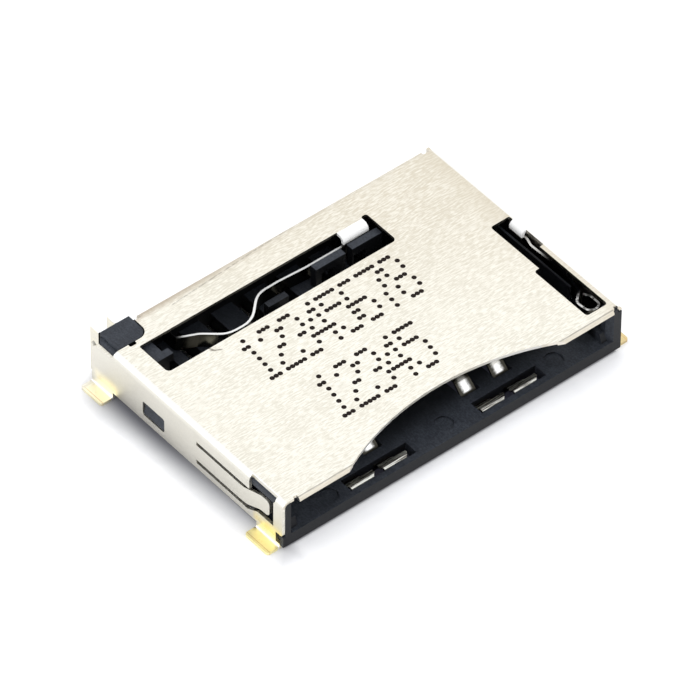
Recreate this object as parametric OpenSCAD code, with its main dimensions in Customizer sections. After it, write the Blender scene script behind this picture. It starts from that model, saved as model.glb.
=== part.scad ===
// Surface-mount memory card socket, short body, push in and pull out.
// Drawn with X to the right and Y inward as seen from the mouth, and Z up from the board.
// Every module works from the front left corner of the shell; seat() then centres the part.

/* [Body] */
// Width over the metal shell
body_w = 26; // [25.9:0.05:26.3]
// Depth from the mouth to the rear flange
body_d = 17.7; // [17.6:0.05:18.2]
// Height of the shell over the housing's underside
body_h = 3.6; // [3.55:0.05:3.8]
// Gap that the solder feet leave between the housing and the board
standoff = 0.3; // [0.2:0.05:0.4]

/* [Card slot] */
// Width of the card that goes in
card_w = 24; // [23.9:0.05:24.1]
// Play beside the card on each side
card_play = 0.05; // [0.03:0.01:0.08]
// Depth at which the leading edge of the card stops
card_stop = 13.95; // [13.9:0.05:14]
// Height of the floor under the card
floor_h = 0.85; // [0.8:0.05:0.9]
// Height of the ledges under the card's thin side rails
ledge_h = 1.5; // [1.4:0.05:1.55]

/* [Shell] */
// Thickness of the shell's sheet
shell_t = 0.2; // [0.18:0.01:0.2]
// Outer radius of the long bends
bend_r = 0.45; // [0.4:0.05:0.5]
// Height of the lip that is turned down over the mouth
lip_h = 0.3; // [0.26:0.02:0.4]
// Depth of the finger cut-out in the front edge
arc_depth = 1.8; // [1.4:0.1:2.2]
// Half the width of the finger cut-out
arc_half = 7.95; // [7.5:0.05:8.2]
// How far the solder feet stand out
foot_out = 0.9; // [0.8:0.05:1.2]

/* [Contacts] */
// Thickness of the contact strip
contact_t = 0.16; // [0.14:0.01:0.18]
// Width of a rear contact
rear_contact_w = 0.7; // [0.6:0.05:0.75]
// Width of a front contact's beam at its root
front_contact_w = 1.15; // [1:0.05:1.2]
// Height that the contact points reach over the housing's underside
contact_rise = 1.6; // [1.5:0.05:1.7]

/* [Switch springs] */
// Thickness of the switch springs' strip
spring_t = 0.15; // [0.12:0.01:0.16]
// Top edge of the card detect spring
detect_top = 2.68; // [2.64:0.02:2.7]
// Top edge of the side switch spring
side_top = 3; // [2.9:0.05:3.05]
// Width of the switch springs' strip
spring_w = 1; // [0.9:0.05:1]

/* [Hidden] */
$fn = 40;
eps = 0.01;

// Places of the nine rear contacts and the four front ones, from the middle of the card
rear_pins = [6.875, 4.375, 1.875, -0.625, -3.125, -5.625, -8.05, -9.75, 9.375];
front_pins = [-6.875, -4.375, 3.125, 5.625];
middle = body_w / 2;
slot_left = middle - card_w / 2 - card_play;
slot_right = middle + card_w / 2 + card_play;
roof = body_h - shell_t;
board = -standoff;
wall_foot = 0.3;
wall_end = body_d + 0.2;
front_y = -0.15;

// Openings in the shell's top: left, front, right, rear
rear_window = [1.62, 12.64, 19.1, 15.38];
rear_tab = [16.7, 18.66];
rear_tab_face = 14.72;
rear_tab_drop = 1.4;
side_window = [body_w - 2.28, 0.6, body_w - 0.65, 9.92];
side_window_step = 5.42;
side_window_in = 0.4;
side_window_wide = body_w - 0.34;
side_tab = [8.42, 9.6];
side_tab_face = body_w - 0.67;
side_tab_drop = 1;
corner_cut = [2.8, 15.88];
post_notch = [0.76, 3.1];
lip_ends = [1.15, body_w - 0.75];
lip_reliefs = [0.87, body_w - 0.62];

// Openings in the shell's side walls
latch = [11.02, 13.05, 0.8, 1.9];
finger_root = 8;
finger_tip = 1.38;
finger_low = 1;
finger_high = 2.22;
finger_rise = 0.46;
slit = 0.28;
post_edge = 0.88;
post_foot = 0.88;
rear_flange_drop = 1.7;
flange_ends = [3.25, 25.05];

// Solder feet along Y, front pair and rear pair
front_foot = [0.3, 2.45];
rear_foot = [15.92, 17.9];
front_neck = 0.67;

// Housing
side_in = shell_t + 0.02;
top = roof - 0.01;
front_bar = 0.27;
post_rear = 0.82;
ledge_w = 0.36;
deck_h = 1.6;
rear_wall = 16.4;
flange_seat = body_d - shell_t - 0.02;
rear_low = body_d + 0.08;
rear_low_h = body_h - rear_flange_drop - 0.03;
channel_w = 0.9;
channel_floor = 0.47;
fence_h = 3.2;
fence = [card_stop + 0.05, 14.54];
fence_spans = [[14, 16.27], [16.8, 19.08]];
left_block = [1.9, 2.65, 3.1];
stop_block = [[10.36, 14, 0], [11.9, 14.45, 2.4]];
corner_block_h = body_h - 0.03;
corner_block_bevel = [0.26, 0.45];
middle_pad = [2.2, 6.2, 9.6];
pads = [[3.5, 3.35], [22.5, 3.35], [3.5, 14.9], [22.5, 14.9]];
pad_r = 0.9;
switch_pocket = [body_w - 0.82, 10.3, 1];
rail = [body_w - 0.82, 3.65, 2.8];
mark_depth = 0.1;
mark_r = 0.6;
marks = [[4.26, 0.96], [13.23, 1.19], [21.68, 1.12]];

// Front contacts
front_plate_w = 1.94;
front_plate_shift = 0.5;
front_plate = [0.5, 1.02];
front_slot = [2.12, 7.45];
front_window = [0.42, 1.44];
strip_low = 0.42;

// Springs
detect_line = rear_tab_face + shell_t + spring_t / 2 + 0.01;
detect_ears = [0.58, 1.82];
ear_span = [17.85, 18.65];
ear_top = body_h - 0.1;
tail_span = [1.4, 2];
tail_line = body_w - 0.61;

function unit(v) = v / norm(v);

// Arc that rounds the corner b between a and c
function fillet(a, b, c, r) =
    let (
        u = unit(a - b),
        v = unit(c - b),
        half = acos(u * v) / 2,
        centre = b + unit(u + v) * r / sin(half),
        first = b + u * r / tan(half) - centre,
        last = b + v * r / tan(half) - centre,
        start = atan2(first[1], first[0]),
        sweep = (atan2(last[1], last[0]) - start + 540) % 360 - 180,
        n = max(2, ceil(abs(sweep) / 12))
    )
    [for (i = [0:n]) centre + r * [cos(start + sweep * i / n), sin(start + sweep * i / n)]];

// Line through the corners, each inner corner rounded by its radius
function rounded_path(corners, radii) = concat(
    [corners[0]],
    [for (i = [1:len(corners) - 2]) each fillet(corners[i - 1], corners[i], corners[i + 1], radii[i - 1])],
    [corners[len(corners) - 1]]);

function side_of(path, i) =
    let (
        before = path[max(i - 1, 0)],
        after = path[min(i + 1, len(path) - 1)],
        along = unit(after - before)
    )
    [-along[1], along[0]];

// Outline of a strip of thickness t that follows a path
function ribbon(path, t) = concat(
    [for (i = [0:len(path) - 1]) path[i] + side_of(path, i) * t / 2],
    [for (i = [len(path) - 1:-1:0]) path[i] - side_of(path, i) * t / 2]);

// Box between two corners
module block(low, high) {
    translate(low) cube(high - low);
}

// Outline in the YZ plane, drawn out along X
module along_x(x, w) {
    translate([x, 0, 0]) rotate([90, 0, 90]) linear_extrude(w) children();
}

// Outline in the XZ plane, drawn out along Y
module along_y(y, d) {
    translate([0, y + d, 0]) rotate([90, 0, 0]) linear_extrude(d) children();
}

// Rectangle from a to b with round corners
module soft_rectangle(a, b, r) {
    square_in = [b[0] - a[0] - 2 * r, b[1] - a[1] - 2 * r];
    translate([a[0] + r, a[1]]) square([square_in[0], b[1] - a[1]]);
    translate([a[0], a[1] + r]) square([b[0] - a[0], square_in[1]]);
    for (x = [a[0] + r, b[0] - r], y = [a[1] + r, b[1] - r]) {
        translate([x, y]) circle(r);
    }
}

// Brings a piece from the corner frame to the middle of the part, and up on its feet
module seat() {
    translate([-body_w / 2, -body_d / 2, standoff]) children();
}

// Outside of the folded shell, seen from the mouth
module shell_outline() {
    translate([0, wall_foot]) square([body_w, body_h - bend_r - wall_foot]);
    translate([bend_r, body_h - 2 * bend_r]) square([body_w - 2 * bend_r, 2 * bend_r]);
    for (x = [bend_r, body_w - bend_r]) {
        translate([x, body_h - bend_r]) circle(bend_r);
    }
}

// Cross-section of the folded shell: roof, two bends and two walls
module shell_section() {
    inner_r = bend_r - shell_t;
    difference() {
        shell_outline();
        translate([shell_t, -1]) square([body_w - 2 * shell_t, roof - inner_r + 1]);
        translate([bend_r, 0]) square([body_w - 2 * bend_r, roof]);
        for (x = [bend_r, body_w - bend_r]) {
            translate([x, roof - inner_r]) circle(inner_r);
        }
    }
}

// Roof edge turned down: outline in YZ for an edge that faces the mouth
module turned_edge(reach, drop, r) {
    difference() {
        union() {
            translate([0, body_h - drop]) square([shell_t, drop - r]);
            translate([r, body_h - shell_t]) square([reach - r, shell_t]);
            intersection() {
                translate([r, body_h - r]) circle(r);
                translate([0, body_h - r]) square(r);
            }
        }
        translate([r, body_h - r]) circle(r - shell_t);
    }
}

// Solder foot: a neck runs down from the wall and turns outward onto the board
module solder_foot(range, neck) {
    path = rounded_path(
        [[shell_t / 2, 0.12], [shell_t / 2, board + shell_t / 2], [-foot_out, board + shell_t / 2]],
        [0.2]);
    intersection() {
        along_y(range[0], range[1] - range[0]) polygon(ribbon(path, shell_t));
        translate([-foot_out, 0, board - 0.1]) linear_extrude(1)
            soft_rectangle([0, range[0]], [foot_out + 1, range[1]], 0.2);
    }
    block([0, neck, 0], [shell_t, range[1], 0.5]);
}

module mirror_side() {
    children();
    translate([body_w, 0, 0]) mirror([1, 0, 0]) children();
}

// Long window over the card detect spring, with the reliefs beside its tab
module rear_window_cut() {
    soft_rectangle([rear_window[0], rear_window[1]], [rear_window[2], rear_window[3]], 0.3);
    square_rear = [rear_window[0], rear_window[3] - 0.6];
    soft_rectangle(square_rear, [rear_tab[0], rear_window[3]], 0.12);
    soft_rectangle([rear_tab[1], square_rear[1]], [rear_window[2], rear_window[3] + 0.12], 0.15);
}

// Window over the side switch spring, stepped on its inner edge and wider before its tab
module side_window_cut() {
    rear_x = side_window[0] + side_window_in;
    right = side_window[2];
    soft_rectangle([side_window[0], side_window[1]], [right, side_window_step], 0.22);
    soft_rectangle([rear_x, side_window_step - 1], [right, side_window[3]], 0.2);
    soft_rectangle([right - 0.8, 6.8], [side_window_wide, side_tab[0] + 0.02], 0.12);
    soft_rectangle([right - 0.8, side_tab[0] - 0.6], [body_w - 0.4, side_window[3]], 0.12);
}

// Corner of the roof cut away over the housing's rear left corner
module corner_cut_out() {
    r = 0.7;
    difference() {
        translate([-1, corner_cut[1]]) square([corner_cut[0] + 1, 4]);
        difference() {
            translate([corner_cut[0] - r, corner_cut[1]]) square(r);
            translate([corner_cut[0] - r, corner_cut[1] + r]) circle(r);
        }
    }
    soft_rectangle([1.2, corner_cut[1] - 0.22], [1.7, corner_cut[1] + 0.3], 0.1);
}

// Everything cut straight down through the roof
module roof_cuts() {
    arc_r = (arc_half * arc_half + arc_depth * arc_depth) / (2 * arc_depth);
    translate([middle + 0.15, arc_depth - arc_r]) circle(arc_r, $fn = 160);
    rear_window_cut();
    side_window_cut();
    for (x = lip_reliefs) {
        soft_rectangle([x, -1], [x + 0.28, 0.2], 0.1);
    }
}

// Finger of the left wall as it is cut, outline in YZ, stepped up toward its free end
module finger_outline() {
    low = finger_low;
    high = finger_high;
    polygon(rounded_path(
        [[finger_root + 0.3, low], [3.35, low], [2.2, low + finger_rise], [finger_tip, low + finger_rise],
         [finger_tip, high + finger_rise], [2.15, high + finger_rise], [3.6, high], [finger_root + 0.3, high]],
        [0.8, 0.5, 0.3, 0.35, 0.6, 0.8]));
}

// Finger of the left wall, leaning a little inward beside the mouth
module side_finger() {
    path = rounded_path(
        [[shell_t / 2, finger_root + 0.3], [shell_t / 2, 4], [shell_t / 2 + 0.12, finger_tip - 0.1]],
        [3]);
    intersection() {
        linear_extrude(finger_high + 1) polygon(ribbon(path, shell_t));
        along_x(-1, 3) finger_outline();
    }
}

// Slot round the finger and the notches of the front post
module finger_cuts() {
    low = finger_low - slit;
    along_x(-1, shell_t + 1.02) {
        polygon([
            [finger_root, low], [3.2, low], [2.35, low + finger_rise], [post_edge, low + finger_rise],
            [post_edge, finger_high + 1], [post_notch[1], finger_high + 1], [post_notch[1], finger_high + slit],
            [finger_root, finger_high + slit]]);
    }
    block([-1, -1, -1], [shell_t + 0.02, front_neck, post_foot + 0.4]);
    block([-1, post_notch[0], finger_high + 0.9], [bend_r - 0.17, post_notch[1], body_h + 1]);
}

// Front end of the left wall, rounded at its foot
module front_post() {
    along_x(0, shell_t) soft_rectangle([0.04, post_foot], [front_neck + 0.12, body_h - bend_r], 0.2);
}

module shell_body() {
    rear_bend = body_d - bend_r;
    along_y(0.04, rear_bend - 0.04) shell_section();
    for (x = [0, body_w - shell_t]) {
        block([x, rear_bend - eps, wall_foot], [x + shell_t, wall_end, body_h - bend_r]);
    }
    translate([0, front_y, 0]) along_x(lip_ends[0], lip_ends[1] - lip_ends[0]) turned_edge(0.5, lip_h, 0.25);
    translate([0, body_d, 0]) mirror([0, 1, 0])
        along_x(flange_ends[0], flange_ends[1] - flange_ends[0])
            turned_edge(bend_r + eps, rear_flange_drop, bend_r);
}

module shell() {
    low = body_h - 2 * bend_r;
    color([0.86, 0.84, 0.79]) seat() {
        difference() {
            shell_body();
            translate([0, 0, low]) linear_extrude(3) roof_cuts();
            translate([0, 0, roof - 0.26]) linear_extrude(3) corner_cut_out();
            mirror_side() along_x(-1, 2) soft_rectangle([latch[0], latch[2]], [latch[1], latch[3]], 0.15);
            finger_cuts();
            block([body_w - shell_t - 0.1, -1, -1], [body_w + 1, front_bar + 0.03, roof - 0.25]);
            translate([0, body_d, roof - 0.1]) rotate([0, 90, 0]) cylinder(h = 3, r = 0.45, center = true, $fn = 4);
        }
        front_post();
        side_finger();
        mirror_side() {
            solder_foot(front_foot, front_neck);
            solder_foot(rear_foot, rear_foot[0]);
        }
        rear_tab_bend();
        side_tab_bend();
    }
}

// Fixed contact of the card detect switch, turned down from the window's rear edge
module rear_tab_bend() {
    translate([0, rear_tab_face, 0])
        along_x(rear_tab[0], rear_tab[1] - rear_tab[0]) turned_edge(0.8, rear_tab_drop, 0.42);
}

// Fixed contact of the side switch, turned down from the window's outer edge
module side_tab_bend() {
    intersection() {
        along_y(side_tab[0], side_tab[1] - side_tab[0])
            translate([side_tab_face, 0]) turned_edge(0.45, side_tab_drop, 0.42);
        along_y(side_tab[0] - 1, 4) shell_outline();
    }
}

// Outline of a deeper floor window and the strip slots of one pair of front contacts
module front_pair_cut(first, second) {
    left = middle + first - max(front_plate_w / 2 - front_plate_shift, front_contact_w / 2) - 0.04;
    right = middle + second + front_plate_shift + front_plate_w / 2 + 0.38;
    block([left, front_window[0], -1], [right, front_window[1], 2]);
    for (pin = [first, second]) {
        x = middle + pin;
        w = front_contact_w;
        block([x - w / 2, 0.5, strip_low - contact_t / 2], [x + w / 2, 2.5, strip_low + contact_t / 2]);
        block([x - w / 2 - 0.1, front_slot[0], -1], [x + w / 2 + 0.1, front_slot[1], 2]);
    }
}

// Way of one rear contact: floor slot, channel in the deck and tight hole in the rear wall
module rear_contact_cut(pin, forward) {
    x = middle + pin;
    w = rear_contact_w;
    block([x - channel_w / 2, 9.75 - forward, -1], [x + channel_w / 2, card_stop, 1.2]);
    block([x - channel_w / 2, 9.75 - forward, floor_h], [x + channel_w / 2, card_stop, top + 1]);
    block([x - channel_w / 2, card_stop - 0.5, channel_floor], [x + channel_w / 2, rear_wall, deck_h + 1]);
    block([x - w / 2, rear_wall - 0.5, channel_floor], [x + w / 2, rear_low + 1, channel_floor + contact_t]);
}

// Ledge under the card's side rail, its end bevelled toward the mouth
module ledge() {
    along_x(slot_left - 0.1, ledge_w + 0.1) polygon([
        [front_bar, 0], [front_bar, floor_h - 0.05], [front_bar + 0.22, ledge_h],
        [card_stop + 0.1, ledge_h], [card_stop + 0.1, 0]]);
}

// Front post: the wall's end with its lead-in chamfer, outline in plan
module post_outline(outer) {
    polygon([[outer, 0], [0.62, 0], [slot_left, 0.42], [slot_left, post_rear + 0.2], [outer, post_rear + 0.2]]);
}

// Everything of the housing that stands, before its pockets are cut
module housing_mass() {
    w = body_w - 2 * side_in;
    block([side_in, 0, 0], [body_w - side_in, card_stop + 1, floor_h]);
    block([0.03, 0, 0], [body_w - 0.03, front_bar, floor_h - 0.05]);
    mirror_side() {
        block([side_in, post_rear, 0], [slot_left, rear_wall + 0.1, top]);
        ledge();
    }
    linear_extrude(top) post_outline(side_in);
    translate([body_w, 0, 0]) mirror([1, 0, 0]) {
        linear_extrude(top) post_outline(side_in + 0.1);
        linear_extrude(roof - 0.28) intersection() {
            post_outline(0.03);
            translate([-1, -1]) square([3, front_bar + 1]);
        }
    }
    block([side_in, card_stop, 0], [body_w - side_in, rear_wall + 0.1, deck_h]);
    block([side_in, rear_wall, 0], [body_w - side_in, flange_seat, top]);
    block([side_in, rear_wall, 0], [body_w - side_in, rear_low, rear_low_h]);
    for (span = fence_spans) {
        block([span[0], fence[0], 0], [span[1], fence[1], fence_h]);
    }
    block(stop_block[0], stop_block[1]);
    block([left_block[0], fence[0], 0], [left_block[2], fence[1], fence_h]);
    block([left_block[0], fence[0], 0], [left_block[1], rear_wall + 0.1, fence_h]);
    board_pads();
    corner_block();
    corner_stop();
}

// Low pads under the floor that rest on the board
module board_pads() {
    block([middle - middle_pad[0], middle_pad[1], board], [middle + middle_pad[0], middle_pad[2], 0.1]);
    for (p = pads) {
        translate([p[0], p[1], board]) cylinder(h = standoff + 0.1, r = pad_r);
    }
}

// Rear left corner that fills the cut in the shell's roof, bevelled over the side wall
module corner_block() {
    front = corner_cut[1] + 0.06;
    right = corner_cut[0] - 0.06;
    difference() {
        linear_extrude(corner_block_h) polygon(rounded_path(
            [[side_in, front], [right, front], [right, rear_low], [0.62, rear_low], [side_in, rear_low - 0.4]],
            [0.7, 0.02, 0.02]));
        along_y(front - 1, 4) polygon([
            [-1, corner_block_h + 1], [-1, corner_block_h - corner_block_bevel[1]],
            [side_in, corner_block_h - corner_block_bevel[1]],
            [side_in + corner_block_bevel[0], corner_block_h], [side_in + corner_block_bevel[0], corner_block_h + 1]]);
    }
}

// Corner block that matches the card's cut corner
module corner_stop() {
    x = middle + rear_pins[8] + channel_w / 2 + 0.3;
    linear_extrude(top - 0.4) polygon([
        [slot_right + 0.1, 10.2], [slot_right + 0.1, card_stop + 0.1],
        [x, card_stop + 0.1], [x, 10.2 + slot_right - x]]);
}

// Wedge that the shell's side window snaps over
module latch_wedge() {
    along_y(latch[0] + 0.06, latch[1] - latch[0] - 0.12) polygon([
        [side_in + 0.1, latch[2] + 0.04], [0.06, latch[2] + 0.04],
        [0.06, latch[2] + 0.3], [side_in, latch[3] - 0.06], [side_in + 0.1, latch[3] - 0.06]]);
}

module housing() {
    color([0.17, 0.18, 0.2]) seat() {
        difference() {
            housing_mass();
            for (i = [0:7]) {
                rear_contact_cut(rear_pins[i], 0);
            }
            rear_contact_cut(rear_pins[8], 1.9);
            front_pair_cut(front_pins[0], front_pins[1]);
            front_pair_cut(front_pins[2], front_pins[3]);
            finger_pocket();
            side_pocket();
            detect_root_cut();
            rear_corner_cuts();
            mirror_side() along_y(-1, body_d + 2) edge_cut(side_in);
            translate([0, flange_seat, 0]) rotate([90, 0, 90])
                translate([0, 0, flange_ends[0] - 0.3]) linear_extrude(body_w) mirror([1, 0]) edge_cut(0);
            for (p = marks) {
                translate([p[0], p[1], floor_h - mark_depth]) cylinder(h = 1, r = mark_r);
            }
        }
        mirror_side() latch_wedge();
    }
}

// Corner taken off under a bend of the shell
module edge_cut(from) {
    r = bend_r - shell_t + 0.03;
    difference() {
        translate([from - 1, top - r]) square([1 + r, r + 1]);
        translate([from + r, top - r]) circle(r);
    }
}

// Room for the shell's finger, open toward the card
module finger_pocket() {
    block([-1, 0.98, finger_low - 0.08], [slot_left + 0.1, 4.1, finger_high + finger_rise + 0.1]);
}

// Room for the side switch spring, its loop and its tail
module side_pocket() {
    block([switch_pocket[0], post_rear, switch_pocket[2]], [body_w, switch_pocket[1], top + 1]);
    block([slot_right - 0.3, post_rear, ledge_h], [rail[0] + 0.1, rail[1], top + 1]);
    block([slot_right - 0.05, rail[1] - 0.1, rail[2]], [rail[0] + 0.1, switch_pocket[1], top + 1]);
    x = tail_line;
    block([x - spring_t / 2, tail_span[0], -1], [x + spring_t / 2, tail_span[1], switch_pocket[2] + 0.1]);
}

// Slot that the root of the card detect spring is pushed into
module detect_root_cut() {
    translate([0, 0, detect_top - spring_w - 0.02])
        linear_extrude(spring_w + 0.04) polygon(ribbon(detect_path(), spring_t + 0.02));
}

// Bevel of the rear left corner and the seat of the shell's rear edge
module rear_corner_cuts() {
    translate([0, 0, -1]) linear_extrude(6) polygon([
        [-1, rear_low - 0.4 - side_in], [side_in, rear_low - 0.4], [0.62, rear_low], [0.62, rear_low + 1], [-1, rear_low + 1]]);
}

function detect_path() = rounded_path(
    [[detect_ears[1], ear_span[1]], [detect_ears[1], rear_wall + 0.2], [4.28, rear_wall + 0.2], [4.28, 15.3],
     [5.6, 14.68], [6.9, 13.58], [8.7, 13.52], [10.35, detect_line + 0.1], [12, detect_line + 0.12],
     [14, detect_line], [rear_tab[1] - 0.1, detect_line]],
    [0.25, 0.25, 0.2, 1.5, 1.6, 1.8, 1.6, 3, 4]);

module card_detect_spring() {
    u_path = rounded_path(
        [[detect_ears[0], ear_top], [detect_ears[0], board + spring_t / 2],
         [detect_ears[1], board + spring_t / 2], [detect_ears[1], ear_top]],
        [0.2, 0.2]);
    color([0.8, 0.79, 0.75]) seat() {
        translate([0, 0, detect_top - spring_w]) linear_extrude(spring_w) polygon(ribbon(detect_path(), spring_t));
        along_y(ear_span[0], ear_span[1] - ear_span[0]) polygon(ribbon(u_path, spring_t));
    }
}

// Measured from the right: end behind the tab, long leaf, round loop at the mouth, root beside the tail
function side_path() =
    let (end = side_tab_face + shell_t + spring_t / 2 + 0.01)
    rounded_path(
    [[end, 9.4], [end, 8.28], [body_w - 0.58, 7.7], [body_w - 0.54, 6.4], [body_w - 0.52, 4.6],
     [body_w - 0.8, 3], [body_w - 1.6, 2.3], [body_w - 1.55, 1.4], [body_w - 1.1, 1.15],
     [tail_line, 1.3], [tail_line, 2.2], [body_w - 0.85, 2.6]],
    [0.4, 0.8, 5, 3, 0.3, 0.45, 0.35, 0.3, 0.3, 0.25]);

module side_switch_spring() {
    x = tail_line;
    tail = rounded_path([[x, 2.4], [x, board + spring_t / 2], [x - 0.8, board + spring_t / 2]], [0.15]);
    color([0.8, 0.79, 0.75]) seat() {
        translate([0, 0, side_top - spring_w]) linear_extrude(spring_w) polygon(ribbon(side_path(), spring_t));
        along_y(tail_span[0], tail_span[1] - tail_span[0]) polygon(ribbon(tail, spring_t));
    }
}

// Contact of the rear row: tail on the board, shank in the rear wall, beam with its rounded bump
module rear_contact(i) {
    forward = i == 8 ? 1.9 : 0;
    z = channel_floor + contact_t / 2;
    crest = contact_rise - contact_t / 2;
    path = rounded_path(
        [[18.6, board + contact_t / 2], [18.1, board + contact_t / 2], [17.98, z], [13.7, z],
         [11.35 - forward, crest], [10.75 - forward, crest], [10.2 - forward, 0.75]],
        [0.12, 0.12, 1.5, 0.35, 0.35]);
    x = middle + rear_pins[i];
    w = rear_contact_w;
    color([0.85, 0.78, 0.6]) seat() intersection() {
        along_x(x - w / 2, w) polygon(ribbon(path, contact_t));
        linear_extrude(3) polygon([
            [x - w / 2, 19], [x - w / 2, 13.9], [x - w / 2 + 0.08, 10], [x - w / 2 + 0.08, 7],
            [x + w / 2 - 0.08, 7], [x + w / 2 - 0.08, 10], [x + w / 2, 13.9], [x + w / 2, 19]]);
    }
}

// Contact of the front row: wide plate in the floor window, foot under it, beam toward the rear
module front_contact(i) {
    x = middle + front_pins[i];
    w = front_contact_w;
    color([0.85, 0.78, 0.6]) seat() {
        front_plate_part(x + front_plate_shift - front_plate_w / 2);
        difference() {
            along_x(x - w / 2, w) polygon(ribbon(front_beam_path(), contact_t));
            for (side = [-1, 1]) {
                translate([x, 0, -1]) linear_extrude(4) polygon([
                    [side * w / 2, 2.4], [side * 0.36, 5.6], [side * 0.36, 8], [side * 2, 8], [side * 2, 2.4]]);
            }
        }
    }
}

function front_plate_z() = floor_h - 0.05 - contact_t / 2;

function front_beam_path() = rounded_path(
    [[front_plate[0] + 0.3, front_plate_z()], [front_plate[1], front_plate_z()], [1.34, strip_low],
     [2.3, strip_low], [3.15, 1.22], [6.1, contact_rise - contact_t / 2], [6.7, contact_rise - contact_t / 2],
     [7.2, 0.75]],
    [0.1, 0.1, 0.3, 0.9, 0.35, 0.35]);

// Plate of a front contact, folded down at the mouth to its foot on the board
module front_plate_part(left) {
    path = rounded_path(
        [[front_plate[1], board + contact_t / 2], [front_plate[0] + contact_t / 2, board + contact_t / 2],
         [front_plate[0] + contact_t / 2, front_plate_z()], [front_plate[1], front_plate_z()]],
        [0.12, 0.18]);
    right = left + front_plate_w;
    intersection() {
        along_x(left, front_plate_w) polygon(ribbon(path, contact_t));
        translate([0, 0, -2]) linear_extrude(4) polygon([
            [left, 2], [left, 0.78], [left + 0.12, 0.1], [right - 0.3, 0.1], [right - 0.22, 0.6], [right, 0.82], [right, 2]]);
    }
}

housing();
shell();
card_detect_spring();
side_switch_spring();
for (i = [0:8]) {
    rear_contact(i);
}
for (i = [0:3]) {
    front_contact(i);
}
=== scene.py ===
"""Looks of a surface-mount memory card socket: finishes, printed number, table, light and camera."""

import math

import bmesh
import bpy
from mathutils import Matrix, Vector


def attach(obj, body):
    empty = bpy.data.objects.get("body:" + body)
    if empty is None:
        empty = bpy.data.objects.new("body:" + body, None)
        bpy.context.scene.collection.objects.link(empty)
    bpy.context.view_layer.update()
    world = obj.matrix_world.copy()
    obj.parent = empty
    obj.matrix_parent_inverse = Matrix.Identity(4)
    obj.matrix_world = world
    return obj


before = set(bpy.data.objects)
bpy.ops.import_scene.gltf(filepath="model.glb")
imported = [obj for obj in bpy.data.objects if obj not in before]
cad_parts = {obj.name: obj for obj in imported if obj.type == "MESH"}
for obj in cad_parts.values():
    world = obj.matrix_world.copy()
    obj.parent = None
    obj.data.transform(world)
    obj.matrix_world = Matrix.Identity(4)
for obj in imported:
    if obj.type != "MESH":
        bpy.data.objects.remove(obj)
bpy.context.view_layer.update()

MM = 0.001
BODY_W = 26.0
BODY_D = 17.7
ROOF_Z = 3.9


def from_corner(x, y, z=0.0):
    """A place measured in millimetres from the shell's front left corner, in the frame's metres."""
    return Vector(((x - BODY_W / 2) * MM, (y - BODY_D / 2) * MM, z * MM))


# Shader tools

# The Mix node repeats its socket names for each data type, so its colour sockets go by number
MIX_COLOUR_A, MIX_COLOUR_B, MIX_COLOUR_OUT = 6, 7, 2

# Most values of a noise lie between these two
NOISE_SPREAD = (0.3, 0.7)


class Socket:
    """An output socket that can be added, multiplied and compared in plain expressions."""

    def __init__(self, paint, link):
        self.paint = paint
        self.link = link

    def _math(self, operation, *values):
        return self.paint.node("ShaderNodeMath", {"operation": operation}, dict(enumerate(values)))

    def __add__(self, other):
        return self._math("ADD", self, other)

    __radd__ = __add__

    def __sub__(self, other):
        return self._math("SUBTRACT", self, other)

    def __rsub__(self, other):
        return self._math("SUBTRACT", other, self)

    def __mul__(self, other):
        return self._math("MULTIPLY", self, other)

    __rmul__ = __mul__

    def __gt__(self, other):
        return self._math("GREATER_THAN", self, other)

    def __lt__(self, other):
        return self._math("LESS_THAN", self, other)

    def size(self):
        return self._math("ABSOLUTE", self)

    def largest(self, other):
        return self._math("MAXIMUM", self, other)


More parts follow.
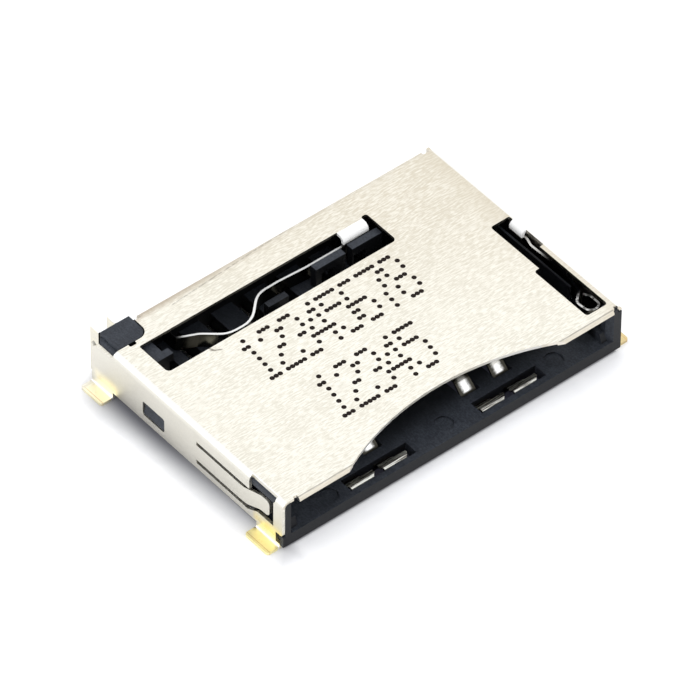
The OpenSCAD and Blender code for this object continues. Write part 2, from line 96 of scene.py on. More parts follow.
class Finish:
    """A material with its nodes. Lengths inside are millimetres in the frame."""

    def __init__(self, name):
        self.material = bpy.data.materials.new(name)
        self.material.use_nodes = True
        self.tree = self.material.node_tree
        self.shader = self.tree.nodes["Principled BSDF"]
        self._place = None
        self._axes = None
        self._facing = None

    def node(self, kind, settings=None, inputs=None, output=0):
        """A new node: its type, then its settings, then its inputs, by name or by number."""
        made = self.tree.nodes.new(kind)
        for key, value in (settings or {}).items():
            setattr(made, key, value)
        for key, value in (inputs or {}).items():
            if isinstance(value, Socket):
                self.tree.links.new(value.link, made.inputs[key])
            else:
                made.inputs[key].default_value = value
        return Socket(self, made.outputs[output])

    def place(self):
        """The surface's own place in millimetres, as a vector."""
        if self._place is None:
            read = self.node("ShaderNodeTexCoord", output="Object")
            self._place = self.node(
                "ShaderNodeVectorMath", {"operation": "SCALE"}, {0: read, "Scale": 1 / MM}
            )
        return self._place

    def parts_of(self, vector):
        """A vector's three numbers."""
        return [self.node("ShaderNodeSeparateXYZ", {}, {0: vector}, output=i) for i in range(3)]

    def axes(self):
        """The surface's own place, as three numbers."""
        if self._axes is None:
            self._axes = self.parts_of(self.place())
        return self._axes

    def facing(self):
        """The true surface direction, as three numbers."""
        if self._facing is None:
            self._facing = self.parts_of(self.node("ShaderNodeNewGeometry", output="True Normal"))
        return self._facing

    def stretched(self, *scale):
        """The place with each axis times its own scale, for patterns longer one way."""
        return self.node("ShaderNodeMapping", {"vector_type": "POINT"}, {0: self.place(), "Scale": scale})

    def noise(self, vector, scale, detail, roughness):
        inputs = {"Vector": vector, "Scale": scale, "Detail": detail, "Roughness": roughness}
        return self.node("ShaderNodeTexNoise", {}, inputs)

    def between(self, value, low, high, to_low=0.0, to_high=1.0):
        """The value's smooth way from low to high, brought to the second pair of numbers."""
        inputs = {"Value": value, "From Min": low, "From Max": high, "To Min": to_low, "To Max": to_high}
        return self.node("ShaderNodeMapRange", {"interpolation_type": "SMOOTHSTEP"}, inputs)

    def window(self, value, low, high, soft):
        """One inside low to high, zero outside, with a soft edge."""
        rise = self.between(value, low - soft, low + soft)
        fall = self.between(value, high + soft, high - soft)
        return rise * fall

    def mix(self, mask, a, b):
        """Colour a where the mask is zero, colour b where it is one."""
        settings = {"data_type": "RGBA", "clamp_factor": True}
        inputs = {"Factor": mask, MIX_COLOUR_A: a, MIX_COLOUR_B: b}
        return self.node("ShaderNodeMix", settings, inputs, output=MIX_COLOUR_OUT)

    def wrapped(self, value, low, high):
        """The value brought into low to high by whole steps, for a row of equal pieces."""
        return self.node("ShaderNodeMath", {"operation": "WRAP"}, {0: value, 1: high, 2: low})

    def bump(self, height, strength, distance_mm):
        inputs = {"Strength": strength, "Distance": distance_mm * MM, "Height": height}
        return self.node("ShaderNodeBump", {}, inputs)

    def give(self, socket, value):
        """Link a pattern to one of the shader's sockets, or set it to a plain value."""
        if isinstance(value, Socket):
            self.tree.links.new(value.link, self.shader.inputs[socket])
        else:
            self.shader.inputs[socket].default_value = value


def rgb(r, g, b):
    return (r, g, b, 1.0)


# Colours of the metal sheet and strips
NICKEL = rgb(0.67, 0.64, 0.55)
NICKEL_PALE = rgb(0.875, 0.848, 0.765)
NICKEL_DULL = rgb(0.60, 0.57, 0.49)
NICKEL_TAN = rgb(0.585, 0.525, 0.415)
NICKEL_BAND = rgb(0.46, 0.39, 0.30)
# The next two: a darker grey nickel for painted shade on the walls, and white nickel that serves mostly as
# painted highlight
NICKEL_WALL_SHADE = rgb(0.60, 0.58, 0.52)
NICKEL_WHITE_AND_HIGHLIGHT = rgb(0.97, 0.965, 0.945)
SHEARED = rgb(0.16, 0.15, 0.13)
# Dark scuff colour, also used as painted shade on the lip's bend
SCUFF_AND_BEND_SHADE = rgb(0.16, 0.14, 0.11)
SHADED_METAL = rgb(0.05, 0.047, 0.038)
GOLD = rgb(0.98, 0.90, 0.57)
GOLD_FOOT = rgb(1.0, 0.90, 0.43)
GOLD_SHADE = rgb(0.60, 0.48, 0.26)
GOLD_DEEP = rgb(0.86, 0.68, 0.31)
# Painted shade line near the outer edge of the solder feet
FOOT_EDGE_SHADE = rgb(0.62, 0.34, 0.12)
BRONZE = rgb(0.32, 0.17, 0.12)
REAR_STRIP = (rgb(0.66, 0.64, 0.59), rgb(0.84, 0.82, 0.77))
FRONT_STRIP = (rgb(0.55, 0.55, 0.51), rgb(0.72, 0.72, 0.68))
ROLLED_PLATE = (rgb(0.13, 0.115, 0.10), rgb(0.74, 0.74, 0.68))
LEAF_EDGE = (rgb(0.84, 0.83, 0.79), rgb(0.95, 0.94, 0.91))
LEAF_GLEAM = rgb(0.36, 0.35, 0.27)

# Colours of plastic, ink and table
BLACK_PLASTIC = rgb(0.022, 0.025, 0.032)
GREY_PLASTIC = rgb(0.050, 0.057, 0.070)
# Painted shade inside the housing, on its faces toward the mouth and on the springs' edges
SHADE_BLACK = rgb(0.004, 0.0042, 0.005)
BURNT_MARK = (rgb(0.007, 0.006, 0.006), rgb(0.05, 0.03, 0.022))
PAPER = (rgb(0.95, 0.95, 0.96), rgb(0.985, 0.985, 0.99))
PAPER_SHADE = rgb(0.03, 0.03, 0.05)


# Finishes

# A name that ends in X, Y or Z is a place in the frame in millimetres, and one that ends in FACING is a part
# of the surface direction. One number is a limit. Two numbers run from where a mask is zero to where it is
# one. Three numbers are the low end, the high end and the softness of both.

# Sheet of the shell
WALL_FACING = (0.6, 0.9)
BEND_HIGHLIGHT_FACING = (0.2, 0.85, 0.08)
TAN_WAY = (1.5, 14.0)
RIGHT_BAND_X = (11.9, 13.6)
REAR_BAND_Y = (8.25, 8.85)
REAR_BAND_Z = ROOF_Z - 0.4
REAR_BAND_START_X = (-12.2, -11.8)
REAR_BAND_FADE_X = (3.5, -8.5)
ROOF_INSIDE_X = (12.6, 12.5)
ROOF_INSIDE_Y = (-8.55, 8.4, 0.03)
ROOF_INSIDE_Z = ROOF_Z - 0.3
SHEARED_FACING = (0.6, 0.3)
REAR_WINDOW_Y = (1.2, 1.6)
SIDE_WINDOW_X = (10.0, 10.4)
LIP_Y = -8.4
LIP_Z = ROOF_Z - 0.42
LIP_FACING = (-0.3, -0.7)
LIP_BEND_FACING = (-0.5, -0.2, 0.06)

# Solder feet
WALL_INSIDE_X = 12.6
OUT_FROM_INSIDE = (0.0, 0.25)
FRONT_FEET_Y = (-8.75, -6.2, 0.25)
REAR_FEET_Y = (6.6, 8.75, 0.3)
GOLD_Z = (1.95, 1.15)
FLAT_FOOT_X = (13.08, 13.2)
FLAT_FOOT_Z = 0.6
PALER_FEET_Y = (0.0, 6.0)
RIGHT_FEET_X = (12.5, 13.0)
FOOT_FOLD_X = (13.0, 13.12, 0.05)
FOOT_FOLD_Z = 0.75
FOOT_EDGE_SHADE_X = (13.755, 13.785, 0.02)
FOOT_EDGE_SHADE_Z = 0.5

# Tabs turned down from the roof, with a painted highlight on their bends and painted shade below
REAR_TAB = {"x": (3.6, 5.76, 0.02), "y": (5.7, 6.5, 0.03)}
SIDE_TAB = {"x": (12.3, 12.68, 0.03), "y": (-0.45, 0.77, 0.02)}
TAB_HIGHLIGHT_Z = (3.3, 3.42)
TAB_SHADE_Z = (3.5, 3.4)

# Marks on the roof: start and end in millimetres from the front left corner, then half the width
SCUFF_LINE = ((5.2, 16.85), (16.5, 17.62), 0.07)
NICK_STROKES = (((4.55, 12.5), (5.35, 12.05), 0.08), ((4.6, 12.85), (4.95, 12.15), 0.09))
SCRATCH = ((8.3, 11.1), (12.6, 10.6), 0.035)
ROOF_TOP_Z = ROOF_Z - 0.1


def roof_line(f, start, end, half_width):
    """One along a short straight mark on the roof, zero away from it."""
    x, y, z = f.axes()
    a = [value / MM for value in from_corner(*start)[:2]]
    b = [value / MM for value in from_corner(*end)[:2]]
    length = math.dist(a, b)
    ux, uy = (b[0] - a[0]) / length, (b[1] - a[1]) / length
    along = (x - a[0]) * ux + (y - a[1]) * uy
    across = ((x - a[0]) * -uy + (y - a[1]) * ux).size()
    return f.between(across, half_width, 0.0) * f.window(along, 0.1, length - 0.1, 0.1) * (z > ROOF_TOP_Z)


def sheet_colour(f, grain, pepper, clouds):
    """Pale nickel with short grain, tanner to the right and rear, calm and in painted shade on the walls,
    with a painted highlight on the bends.
    """
    x, y, z = f.axes()
    sideways = f.facing()[0].size()
    wall = f.between(sideways, *WALL_FACING)
    tone = f.between(grain * 0.6 + pepper * 0.22 + clouds * 0.18, 0.40, 0.60)
    tone = 0.5 + (tone - 0.5) * (1 - wall * 0.6)
    colour = f.mix(tone, NICKEL, NICKEL_PALE)
    colour = f.mix(f.between(clouds, 0.56, 0.72) * 0.3, colour, NICKEL_DULL)
    toward_right_rear = f.between(x * 0.5 + y * 0.7 + clouds * 5.0 + grain * 3.0, *TAN_WAY)
    colour = f.mix(toward_right_rear * (0.74 - tone * 0.48), colour, NICKEL_TAN)
    right_band = f.between(x + clouds * 2.0, *RIGHT_BAND_X)
    colour = f.mix(right_band * 0.45, colour, NICKEL_TAN)
    rear_edge = f.between(y + pepper * 0.5, *REAR_BAND_Y) * f.between(x, *REAR_BAND_START_X)
    rear_band = rear_edge * (z > REAR_BAND_Z) * f.between(x, *REAR_BAND_FADE_X, 0.12, 0.9)
    colour = f.mix(rear_band, colour, NICKEL_BAND)
    # Painted shade: the walls are mixed toward a darker grey nickel
    colour = f.mix(wall * 0.5, colour, NICKEL_WALL_SHADE)
    # Painted highlight: the bends are mixed toward white
    return f.mix(f.window(sideways, *BEND_HIGHLIGHT_FACING) * 0.75, colour, NICKEL_WHITE_AND_HIGHLIGHT)


def sheet_edges(f, colour):
    """Dark sheared edges round the roof's openings, and the lip over the mouth, its bend line in painted
    shade.
    """
    x, y, z = f.axes()
    _, ny, nz = f.facing()
    in_roof = f.between(x.size(), *ROOF_INSIDE_X) * f.window(y, *ROOF_INSIDE_Y) * (z > ROOF_INSIDE_Z)
    sheared = in_roof * f.between(nz.size(), *SHEARED_FACING)
    at_windows = f.between(y, *REAR_WINDOW_Y).largest(f.between(x, *SIDE_WINDOW_X))
    colour = f.mix(sheared * (0.45 + at_windows * 0.5), colour, SHEARED)
    lip = (y < LIP_Y) * (z > LIP_Z)
    colour = f.mix(lip * f.between(ny, *LIP_FACING) * 0.6, colour, NICKEL_TAN)
    # Painted shade along the lip's bend
    return f.mix(lip * f.window(ny, *LIP_BEND_FACING) * 0.45, colour, SCUFF_AND_BEND_SHADE)


def sheet_wear(f, colour, pepper):
    """The broken scuff line along the rear edge, and the nick beside the window."""
    scuff = roof_line(f, *SCUFF_LINE) * f.between(pepper, 0.40, 0.56)
    first, second = (roof_line(f, *stroke) for stroke in NICK_STROKES)
    nick = first.largest(second)
    return f.mix((scuff * 0.6).largest(nick * 0.9), colour, SCUFF_AND_BEND_SHADE)


def foot_gold(f, pepper, clouds):
    """Where the solder feet are gold, and the gold's colour: deeper on the flat, a painted highlight on the
    fold, a painted shade line near the outer edge.
    """
    x, y, z = f.axes()
    out = x.size()
    low = f.between(z + pepper * 0.4, *GOLD_Z)
    at_feet = f.window(y, *FRONT_FEET_Y).largest(f.window(y, *REAR_FEET_Y))
    where = low * f.between(out - WALL_INSIDE_X, *OUT_FROM_INSIDE) * at_feet
    colour = f.mix(f.between(clouds + pepper * 0.3, 0.5, 0.9), GOLD, GOLD_DEEP)
    flat = f.between(out, *FLAT_FOOT_X) * (z < FLAT_FOOT_Z)
    colour = f.mix(flat * 0.7, colour, GOLD_FOOT)
    colour = f.mix(f.between(y, *PALER_FEET_Y) * 0.42, colour, NICKEL_WHITE_AND_HIGHLIGHT)
    # Painted highlight along the fold
    fold_highlight = f.window(out, *FOOT_FOLD_X) * (z < FOOT_FOLD_Z)
    colour = f.mix(fold_highlight * 0.85, colour, NICKEL_WHITE_AND_HIGHLIGHT)
    at_right = f.between(x, *RIGHT_FEET_X)
    colour = f.mix(at_right * 0.9, colour, GOLD_SHADE)
    # Painted shade line near the outer edge of the foot
    edge_shade_line = f.window(out + pepper * 0.06, *FOOT_EDGE_SHADE_X) * (z < FOOT_EDGE_SHADE_Z)
    return where, f.mix(edge_shade_line * 0.85, colour, FOOT_EDGE_SHADE)


def tab_place(f, tab):
    """One at a turned-down tab, zero away from it."""
    x, y, _ = f.axes()
    return f.window(x, *tab["x"]) * f.window(y, *tab["y"])


def shell_finish():
    """Nickel-plated sheet: short rolling grain along the width, faint clouds, gold at the feet."""
    f = Finish("plated_shell_sheet")
    z = f.axes()[2]
    grain = f.noise(f.stretched(1.8, 10.5, 10.5), scale=1.0, detail=2.0, roughness=0.6)
    pepper = f.noise(f.place(), scale=5.0, detail=3.0, roughness=0.7)
    clouds = f.noise(f.place(), scale=0.45, detail=3.0, roughness=0.6)
    colour = sheet_colour(f, grain, pepper, clouds)
    colour = sheet_edges(f, colour)
    colour = sheet_wear(f, colour, pepper)
    gold, gold_colour = foot_gold(f, pepper, clouds)
    colour = f.mix(gold, colour, gold_colour)

    # The turned-down tabs: a painted highlight on the bend, less metallic and rougher there, and painted
    # shade on the face below it
    turned_down = tab_place(f, REAR_TAB).largest(tab_place(f, SIDE_TAB))
    tab_bend_highlight = turned_down * f.between(z, *TAB_HIGHLIGHT_Z)
    colour = f.mix((turned_down - tab_bend_highlight) * f.between(z, *TAB_SHADE_Z), colour, SHADED_METAL)
    f.give("Base Color", f.mix(tab_bend_highlight, colour, NICKEL_WHITE_AND_HIGHLIGHT))
    f.give("Metallic", 1.0 - tab_bend_highlight * 0.9)
    sheen = f.between(pepper * 0.5 + grain * 0.5, *NOISE_SPREAD, 0.30, 0.46)
    f.give("Roughness", sheen - gold * 0.05 + tab_bend_highlight * 0.3)
    height = grain * 0.8 + pepper * 0.4 - roof_line(f, *SCRATCH) * 2.0
    f.give("Normal", f.bump(height, strength=0.14, distance_mm=0.010))
    return f.material


# Moulding of the housing
MOUTH_FACING = (-0.5, -0.9)
UPRIGHT_FACING = (0.7, 0.3)
SLOT_X = (12.78, 12.6)
SLOT_Y = (-8.45, -7.6)
SLOT_Z = (3.52, 3.4)
DEEP_Y = (-3.0, 1.0)
SPRING_POCKET_X = (10.6, 11.0)
SPRING_POCKET_Y = (-8.3, -7.9)
UNDER_ROOF_Y = (-6.6, 0.5, 0.9)


def plastic_finish():
    """Glass-filled black moulding: satin, fine grain, a slight blue-grey bloom, with painted shade inside
    and on faces toward the mouth.
    """
    f = Finish("black_moulding")
    f.give("Specular IOR Level", 0.17)
    x, y, z = f.axes()
    _, ny, nz = f.facing()
    fine = f.noise(f.place(), scale=9.0, detail=4.0, roughness=0.65)
    broad = f.noise(f.place(), scale=0.8, detail=3.0, roughness=0.55)
    fibres = f.noise(f.stretched(7.0, 1.2, 3.0), scale=2.2, detail=3.0, roughness=0.6)
    bloom = f.between(broad * 0.2 + fine * 0.5 + fibres * 0.3, 0.38, 0.66)
    colour = f.mix(bloom, BLACK_PLASTIC, GREY_PLASTIC)
    # Painted shade on faces toward the mouth
    mouth_face_shade = f.between(ny, *MOUTH_FACING)
    colour = f.mix(mouth_face_shade * 0.9, colour, SHADE_BLACK)
    # Painted shade inside the card slot, deeper in and under the roof
    inside = f.between(x.size(), *SLOT_X) * f.between(z, *SLOT_Z) * f.between(y, *SLOT_Y)
    spring_pocket = f.between(x, *SPRING_POCKET_X) * f.between(y, *SPRING_POCKET_Y)
    deep = f.between(y, *DEEP_Y).largest(spring_pocket)
    upright = f.between(nz, *UPRIGHT_FACING)
    under_roof = f.window(y, *UNDER_ROOF_Y)
    dark = (deep * (0.45 + upright * 0.5)).largest(under_roof * 0.8)
    f.give("Base Color", f.mix(inside * dark, colour, SHADE_BLACK))
    f.give("Roughness", f.between(fine * 0.6 + fibres * 0.4, *NOISE_SPREAD, 0.36, 0.52))
    f.give("Normal", f.bump(fine * 0.7 + fibres * 0.5, strength=0.2, distance_mm=0.012))
    return f.material


# Contact strips of both rows
PADS_Z = (0.75, 1.5)
REAR_PADS_Y = (0.0, 3.1, 0.8)
REAR_TAILS_Y = (8.7, 9.1)
FRONT_PADS_Y = (-4.2, 0.2, 0.6)
UPWARD_FACING = (0.2, 0.6)

# Plates and beams of the front row, with the middle of its first beam and the step to the next one
FRONT_BEAM_X = -6.875
FRONT_PITCH = 2.5
PLATE_Y = (-7.7, -7.85)
PLATE_Z = 0.9
PLATE_RIM_HIGHLIGHT_Y = (-8.29, -8.33)
TERMINAL_Y = (-8.6, -8.4)
TERMINAL_Z = (1.02, 0.94)
BEAM_ROOT_Y = (-7.6, -7.3)
BEAM_BROWN_Y = (-7.2, -6.6, 0.2)
BEAM_HIGHLIGHT_Y = (-6.5, -5.2, 0.45)
BEAM_HIGHLIGHT_ACROSS = (-0.26, 0.24, 0.16)


def plated_strip(f, dark, light):
    """Drawn nickel with lines along the strip: its colour, and the spots for the plating."""
    f.give("Metallic", 1.0)
    drawn = f.noise(f.stretched(12.0, 0.9, 8.0), scale=1.5, detail=3.0, roughness=0.6)
    spots = f.noise(f.place(), scale=5.0, detail=3.0, roughness=0.6)
    f.give("Roughness", f.between(drawn * 0.6 + spots * 0.4, *NOISE_SPREAD, 0.26, 0.40))
    f.give("Normal", f.bump(drawn, strength=0.12, distance_mm=0.008))
    return f.mix(f.between(drawn, 0.35, 0.65), dark, light), spots


def gold_plate(f, colour, spots, mask):
    """Gold over the colour where the mask is one, deeper in spots."""
    return f.mix(mask, colour, f.mix(f.between(spots, 0.4, 0.65), GOLD, GOLD_DEEP))


def rear_contact_finish():
    """Rear strips: gold at the card's pads and on the solder tails."""
    f = Finish("rear_contact_strip")
    _, y, z = f.axes()
    colour, spots = plated_strip(f, *REAR_STRIP)
    at_pads = f.window(y + spots * 0.5, *REAR_PADS_Y) * f.between(z, *PADS_Z)
    at_tails = f.between(y, *REAR_TAILS_Y)
    f.give("Base Color", gold_plate(f, colour, spots, at_pads.largest(at_tails)))
    return f.material


def front_contact_finish():
    """Front strips: rolled plates with a painted highlight on the rim, beams with a painted highlight along
    the middle, browner in patches, and painted shade on the rest and below the floor.
    """
    f = Finish("front_contact_strip")
    x, y, z = f.axes()
    upward = f.facing()[2]
    colour, spots = plated_strip(f, *FRONT_STRIP)
    rolled = f.noise(f.stretched(0.7, 13.0, 6.0), scale=1.0, detail=2.0, roughness=0.6)
    plate = f.mix(f.between(rolled, 0.38, 0.58), *ROLLED_PLATE)
    # Painted highlight on the plates' rim
    plate = f.mix(f.between(y, *PLATE_RIM_HIGHLIGHT_Y), plate, NICKEL_WHITE_AND_HIGHLIGHT)
    colour = f.mix(f.between(y, *PLATE_Y) * (z > PLATE_Z), colour, plate)
    across = f.wrapped(x - FRONT_BEAM_X, -FRONT_PITCH / 2, FRONT_PITCH / 2)
    # Painted highlight along the middle of each beam, painted shade on the rest
    beam_highlight = f.window(across + spots * 0.3 - 0.15, *BEAM_HIGHLIGHT_ACROSS) * f.window(y + spots * 0.6, *BEAM_HIGHLIGHT_Y)
    beam = f.mix(beam_highlight, SHADED_METAL, NICKEL_WHITE_AND_HIGHLIGHT)
    # Browner in patches low on the beam
    brown_patches = f.window(y, *BEAM_BROWN_Y) * f.between(spots, 0.5, 0.65)
    beam = f.mix(brown_patches * 0.5, beam, BRONZE)
    colour = f.mix(f.between(y, *BEAM_ROOT_Y), colour, beam)
    # Painted shade on the strips below the floor
    below_floor = f.between(z, *TERMINAL_Z) * f.between(y, *TERMINAL_Y)
    colour = f.mix(below_floor, colour, SHADED_METAL)
    at_pads = f.window(y + spots * 0.5, *FRONT_PADS_Y) * f.between(z, *PADS_Z)
    f.give("Base Color", gold_plate(f, colour, spots, at_pads * f.between(upward, *UPWARD_FACING)))
    return f.material


# Switch springs: the leaf behind the rear window, and the one with the loop at the right
RIGHT_SPRING_X = 11.0
RIGHT_LEAF_Y = (-3.0, -1.4)
LOOP_Y = (-5.9, -6.3)
LEFT_LEAF_X = (-8.75, -8.1)
LEFT_TERMINAL_Y = (8.3, 8.5)
LEAF_EDGE_FACING = (0.85, 0.95)
GLEAM_X = (-7.0, -5.9, 0.5)
GLEAM_Z = (2.0, 2.8, 0.3)
SPRING_TAIL_Y = (8.5, 8.8)
SPRING_TAIL_Z = (0.5, 0.3)


def spring_finish():
    """Rolled spring strip on edge: the sheared upper edge bright nickel with a painted highlight in places
    and painted shade elsewhere, the faces in painted shade with a painted gleam.
    """
    f = Finish("rolled_spring_strip")
    x, y, z = f.axes()
    lines = f.noise(f.stretched(1.2, 1.2, 16.0), scale=1.2, detail=4.0, roughness=0.6)
    spots = f.noise(f.place(), scale=4.0, detail=3.0, roughness=0.6)
    at_right = x > RIGHT_SPRING_X
    # Painted highlight on parts of the upper edge, painted shade on the rest
    loop_highlight = f.between(y, *LOOP_Y) * f.between(spots, 0.38, 0.62, 0.15, 0.75)
    edge_highlight_right = f.between(y, *RIGHT_LEAF_Y).largest(loop_highlight)
    edge_highlight_left = f.between(x, *LEFT_LEAF_X).largest(f.between(y, *LEFT_TERMINAL_Y)) * (1 - at_right)
    edge_highlight = edge_highlight_left + edge_highlight_right * at_right
    edge = f.between(f.facing()[2], *LEAF_EDGE_FACING)
    edge_colour = f.mix(f.between(spots, 0.35, 0.65), *LEAF_EDGE)
    edge_colour = f.mix(edge_highlight_left * 0.8, edge_colour, NICKEL_WHITE_AND_HIGHLIGHT)
    # Faces in painted shade with a painted gleam
    gleam = f.window(x, *GLEAM_X) * f.window(z, *GLEAM_Z)
    face_colour = f.mix(gleam * 0.8, SHADED_METAL, LEAF_GLEAM)
    tail = f.between(y, *SPRING_TAIL_Y).largest(f.between(z, *SPRING_TAIL_Z))
    face_colour = f.mix(tail, face_colour, f.mix(f.between(lines, 0.2, 0.5), GOLD, NICKEL))
    f.give("Base Color", f.mix(edge, face_colour, f.mix(edge_highlight, SHADE_BLACK, edge_colour)))
    f.give("Metallic", 1 - edge * (edge_highlight * 0.6 + edge_highlight_left * 0.35))
    f.give("Roughness", f.between(spots * 0.5 + lines * 0.5, *NOISE_SPREAD, 0.16, 0.26) + edge * 0.34)
    f.give("Normal", f.bump(lines, strength=0.06, distance_mm=0.006))
    return f.material


def ink_finish():
    """Burnt-in marking: near black with brown specks."""
    f = Finish("burnt_mark")
    specks = f.noise(f.place(), scale=22.0, detail=2.0, roughness=0.6)
    f.give("Base Color", f.mix(f.between(specks, 0.45, 0.7), *BURNT_MARK))
    f.give("Specular IOR Level", 0.08)
    f.give("Roughness", f.between(specks, *NOISE_SPREAD, 0.55, 0.85))
    f.give("Normal", f.bump(specks, strength=0.4, distance_mm=0.01))
    return f.material


# Outline of the body and of a solder foot on the table
BODY_END_X, BODY_END_Y = 12.9, 8.9
FOOT_END_X, FOOT_MIDDLE_Y, FOOT_HALF_Y = 13.85, 7.7, 1.1

# Painted shadow on the table: it reaches further out from the body where it widens, and it is deeper at
# the rear end of the left wall. A name that ends in OUT is measured out from an outline.
SHADE_WIDENS_Y = (3.0, 7.0)
SHADE_REACH_OUT = (2.8, 3.6)
SHADE_FULL_OUT = -0.2
LEFT_SHADE_X = (-11.8, -12.6)
LEFT_SHADE_Y = (-7.0, 5.0)
LEFT_SHADE_DEPTH = (0.3, 0.74)
LEFT_SHADE_END_Y = (9.9, 7.2)
FOOT_SHADE_OUT = (0.9, -0.3)
BENEATH_OUT = (-0.05, -0.35)


def paper_finish():
    """Matt white table paper that glows faintly, with painted shadow close round the socket, under its feet
    and beneath it.
    """
    f = Finish("table_paper")
    x, y, _ = f.axes()
    tooth = f.noise(f.place(), scale=1.3, detail=4.0, roughness=0.6)
    from_body = (x.size() - BODY_END_X).largest(y.size() - BODY_END_Y)
    from_foot = (x.size() - FOOT_END_X).largest((y.size() - FOOT_MIDDLE_Y).size() - FOOT_HALF_Y)
    reach = f.between(y, *SHADE_WIDENS_Y, *SHADE_REACH_OUT)
    near = f.between(from_body, reach, SHADE_FULL_OUT)
    left_wall = f.between(x, *LEFT_SHADE_X) * f.between(y, *LEFT_SHADE_Y, *LEFT_SHADE_DEPTH)
    at_left = left_wall * f.between(y, *LEFT_SHADE_END_Y)
    under_foot = f.between(from_foot, *FOOT_SHADE_OUT) * 0.16
    beneath = f.between(from_body, *BENEATH_OUT) * 0.98
    shade = (near * near * (0.12 + at_left)).largest(under_foot).largest(beneath)
    paper = f.mix(shade, f.mix(f.between(tooth, *NOISE_SPREAD), *PAPER), PAPER_SHADE)
    f.give("Base Color", paper)
    f.give("Emission Color", paper)
    f.give("Emission Strength", 0.22)
    f.give("Roughness", f.between(tooth, *NOISE_SPREAD, 0.8, 0.92))
    f.give("Normal", f.bump(tooth, strength=0.08, distance_mm=0.02))
    return f.material


REAR_CONTACTS = range(1, 10)
FRONT_CONTACTS = range(10, 14)


def dress(material, *nodes):
    """Give the solids of these nodes their finish."""
    for node in nodes:
        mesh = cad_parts[node].data
        mesh.materials.clear()
        mesh.materials.append(material)


dress(shell_finish(), "shell")
dress(plastic_finish(), "housing")
dress(rear_contact_finish(), *(f"contact_{number}" for number in REAR_CONTACTS))
dress(front_contact_finish(), *(f"contact_{number}" for number in FRONT_CONTACTS))
dress(spring_finish(), "card_detect_spring", "side_switch_spring")


# Printed number

DIGITS = {
    "1": ["00100", "01100", "00100", "00100", "00100", "00100", "01110"],
    "2": ["01110", "10001", "00001", "00110", "01000", "10000", "11111"],
    "3": ["01110", "10001", "00001", "00110", "00001", "10001", "01110"],
    "4": ["00010", "00110", "01010", "10010", "11111", "00010", "00010"],
    "5": ["11111", "10000", "11110", "00001", "00001", "10001", "01110"],
    "6": ["01110", "10000", "10000", "11110", "10001", "10001", "01110"],
    "7": ["11111", "00001", "00010", "00010", "00100", "00100", "00100"],
    "8": ["01110", "10001", "10001", "01110", "10001", "10001", "01110"],
}
DIGIT_ROWS = 7

# Each row: its digits, its lower left dot from the front left corner, the step from digit to digit, and
# how far each row of dots is set off against the one below
PRINTED_ROWS = (("12345678", (5.74, 8.4), 1.544, 0.045), ("12345", (7.1, 3.33), 1.595, 0.09))
DOT_R = 0.166
DOT_SIDES = 12
DOT_ROW_STEP = 0.575
DOT_COLUMN_STEP = 0.308

# A dot is a film this high over the roof, with a rim that stops just above it
INK_H = 0.004
INK_SKIRT = INK_H * 0.9


def dot_places(text, start, digit_step, row_shift):
    """Middles of the dots of a row of digits whose lower left dot is at the start."""
    x, y = start
    for i, digit in enumerate(text):
        for row, bits in enumerate(DIGITS[digit]):
            for column, bit in enumerate(bits):
                if bit == "1":
                    up = DIGIT_ROWS - 1 - row
                    dot_x = x + i * digit_step + column * DOT_COLUMN_STEP + up * row_shift
                    yield dot_x, y + up * DOT_ROW_STEP


def new_piece(name, build, material):
    """An object made of the drawn mesh, at the frame's origin."""
    mesh = bpy.data.meshes.new(name)
    build.to_mesh(mesh)
    build.free()
    piece = bpy.data.objects.new(name, mesh)
    bpy.context.scene.collection.objects.link(piece)
    mesh.materials.append(material)
    return piece


def printed_number():
    """Two rows of plain digits as round dots, a film on the shell's roof."""
    build = bmesh.new()
    for row in PRINTED_ROWS:
        for x, y in dot_places(*row):
            made = bmesh.ops.create_circle(build, cap_ends=True, segments=DOT_SIDES, radius=DOT_R * MM)
            bmesh.ops.translate(build, verts=made["verts"], vec=from_corner(x, y, ROOF_Z + INK_H))
    skirts = bmesh.ops.extrude_edge_only(build, edges=list(build.edges))
    lower = [v for v in skirts["geom"] if isinstance(v, bmesh.types.BMVert)]
    bmesh.ops.translate(build, verts=lower, vec=(0, 0, -INK_SKIRT * MM))
    bmesh.ops.recalc_face_normals(build, faces=build.faces)
    piece = new_piece("printed_number", build, ink_finish())
    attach(piece, "root")


printed_number()


# Table, light and camera; lengths are metres where no unit is named

TABLE_HALF = 0.6
TABLE_CELLS = 8
TABLE_GAP_MM = 0.01

ROOM_TINT = (0.97, 0.98, 1.0, 1.0)
ROOM_STRENGTH = 1.15
WHITE = (1, 1, 1)
WARM_WHITE = (1.0, 0.985, 0.95)
PANELS = {
    "back_panel": {"place": (0.27, 0.33, 0.42), "size": (0.42, 0.38), "power": 0.12, "tint": WARM_WHITE},
    "left_back_panel": {"place": (-0.40, 0.30, 0.24), "size": (0.30, 0.25), "power": 0.22, "tint": WHITE},
    "front_panel": {"place": (0.10, -0.46, 0.30), "size": (0.35, 0.25), "power": 0.20, "tint": WHITE},
}

# The photo's camera: angles in degrees, and the place that it turns round, from the front left corner
AZIMUTH, ELEVATION, ROLL = -39.97, 45.45, 0.52
AIM_MM = (13.0, 8.8, 2.0)
DISTANCE_MM = 492.3
SENSOR_MM = 36.0
FOCAL_PX = 8300.0
FRAME_PX = 700.0
OFFSET_PX = (8.80, -6.31)
CLIP = (0.05, 5.0)


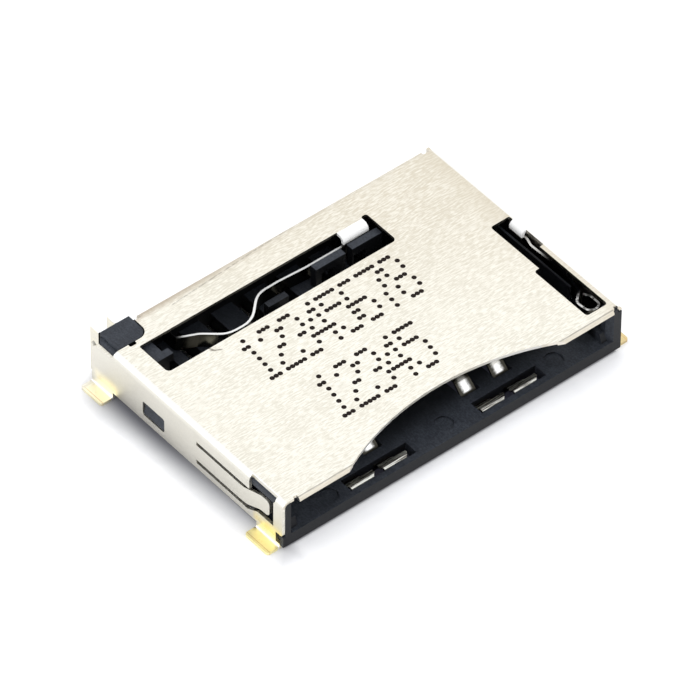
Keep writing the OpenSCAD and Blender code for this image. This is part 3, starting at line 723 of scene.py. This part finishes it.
def table():
    build = bmesh.new()
    bmesh.ops.create_grid(build, x_segments=TABLE_CELLS, y_segments=TABLE_CELLS, size=TABLE_HALF)
    bmesh.ops.translate(build, verts=build.verts, vec=(0, 0, -TABLE_GAP_MM * MM))
    top = new_piece("table_top", build, paper_finish())


def soft_light(name, place, size, power, tint):
    """A rectangular panel that faces the part."""
    data = bpy.data.lights.new(name, "AREA")
    data.shape = "RECTANGLE"
    data.size, data.size_y = size
    data.energy = power
    data.color = tint
    lamp = bpy.data.objects.new(name, data)
    lamp.location = place
    lamp.rotation_euler = (-Vector(place)).to_track_quat("-Z", "Y").to_euler()
    bpy.context.scene.collection.objects.link(lamp)


def studio():
    world = bpy.data.worlds.new("pale_room")
    world.use_nodes = True
    background = world.node_tree.nodes["Background"]
    background.inputs["Color"].default_value = ROOM_TINT
    background.inputs["Strength"].default_value = ROOM_STRENGTH
    bpy.context.scene.world = world
    for name, panel in PANELS.items():
        soft_light(name, **panel)
    bpy.context.scene.view_settings.view_transform = "Standard"


def camera():
    """The photo's camera: its angles, its distance and the small shift of its picture."""
    a, e, r = (math.radians(v) for v in (AZIMUTH, ELEVATION, ROLL))
    back = Vector((math.sin(a) * math.cos(e), -math.cos(a) * math.cos(e), math.sin(e)))
    right = Vector((math.cos(a), math.sin(a), 0.0))
    up = back.cross(right)
    turned_right = right * math.cos(r) + up * math.sin(r)
    turned_up = up * math.cos(r) - right * math.sin(r)
    data = bpy.data.cameras.new("photo_camera")
    data.sensor_width = SENSOR_MM
    data.lens = FOCAL_PX * data.sensor_width / FRAME_PX
    data.shift_x = -OFFSET_PX[0] / FRAME_PX
    data.shift_y = OFFSET_PX[1] / FRAME_PX
    data.clip_start, data.clip_end = CLIP
    shooter = bpy.data.objects.new("photo_camera", data)
    turn = Matrix((turned_right, turned_up, back)).transposed()
    shooter.matrix_world = Matrix.Translation(from_corner(*AIM_MM) + back * DISTANCE_MM * MM) @ turn.to_4x4()
    bpy.context.scene.collection.objects.link(shooter)
    bpy.context.scene.camera = shooter


table()
studio()
camera()
